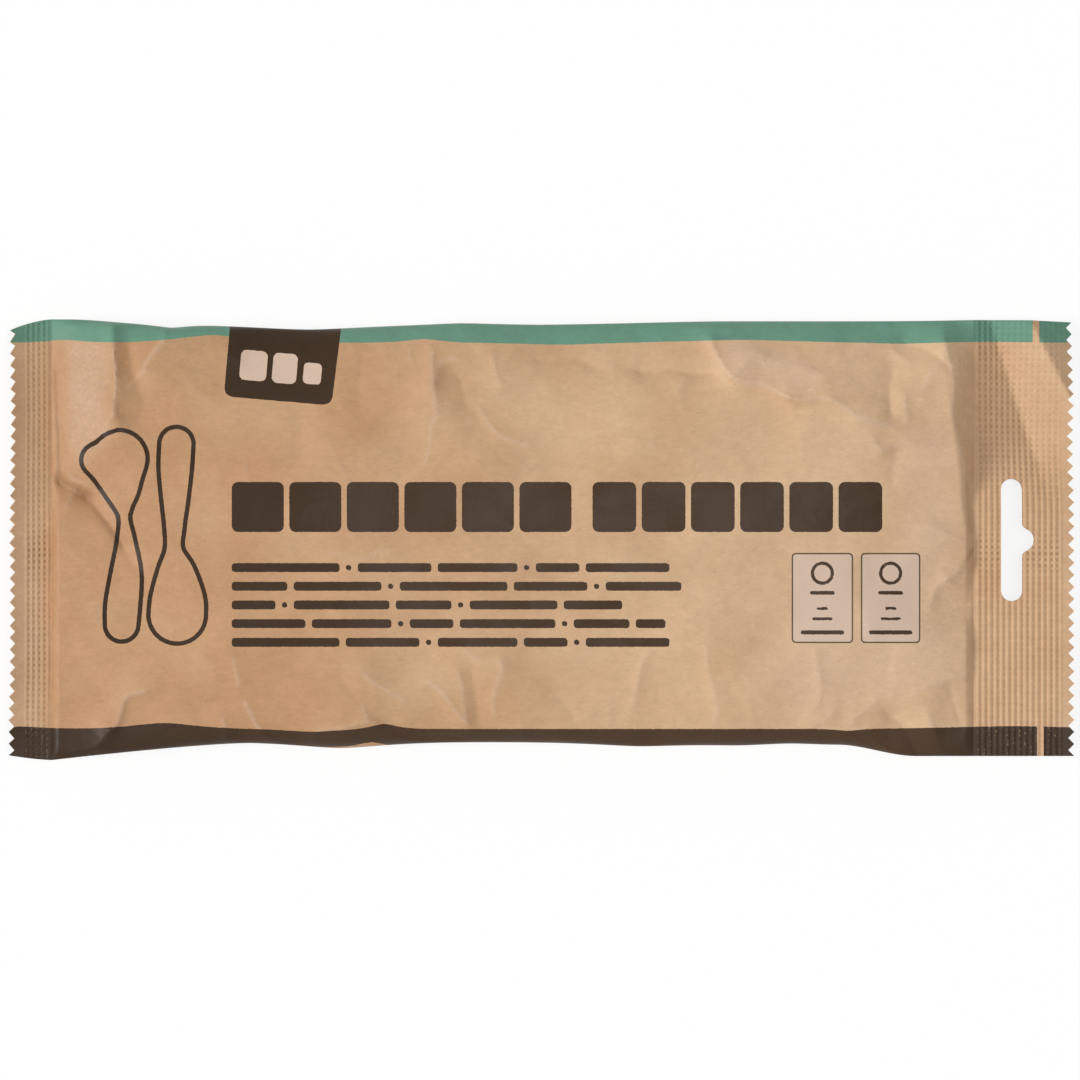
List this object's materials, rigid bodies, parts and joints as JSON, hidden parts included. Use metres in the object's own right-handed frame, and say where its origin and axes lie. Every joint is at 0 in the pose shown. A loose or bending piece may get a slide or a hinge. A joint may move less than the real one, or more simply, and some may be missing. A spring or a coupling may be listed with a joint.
{
  "type": "wooden cutlery pack",
  "caption": "Sealed kraft paper pillow pack of wooden spoons, with crimped zigzag-cut ends and a hang slot in its header.",
  "frame": {"origin": "under the middle of the pack's bounding box, on the surface that its back rests on", "axes": "+X along the pack towards the header with the hang slot, +Y across it towards the green side fold, +Z out of the printed front"},
  "size_m": [0.2672, 0.1102, 0.0186],
  "materials": {
    "printed_kraft_paper": "matt brown kraft paper with fine fibres, a green band along one side fold and a dark brown band along the other"
  },
  "bodies": {
    "root": {"paper_pack": "printed_kraft_paper"}
  },
  "joints": []
}
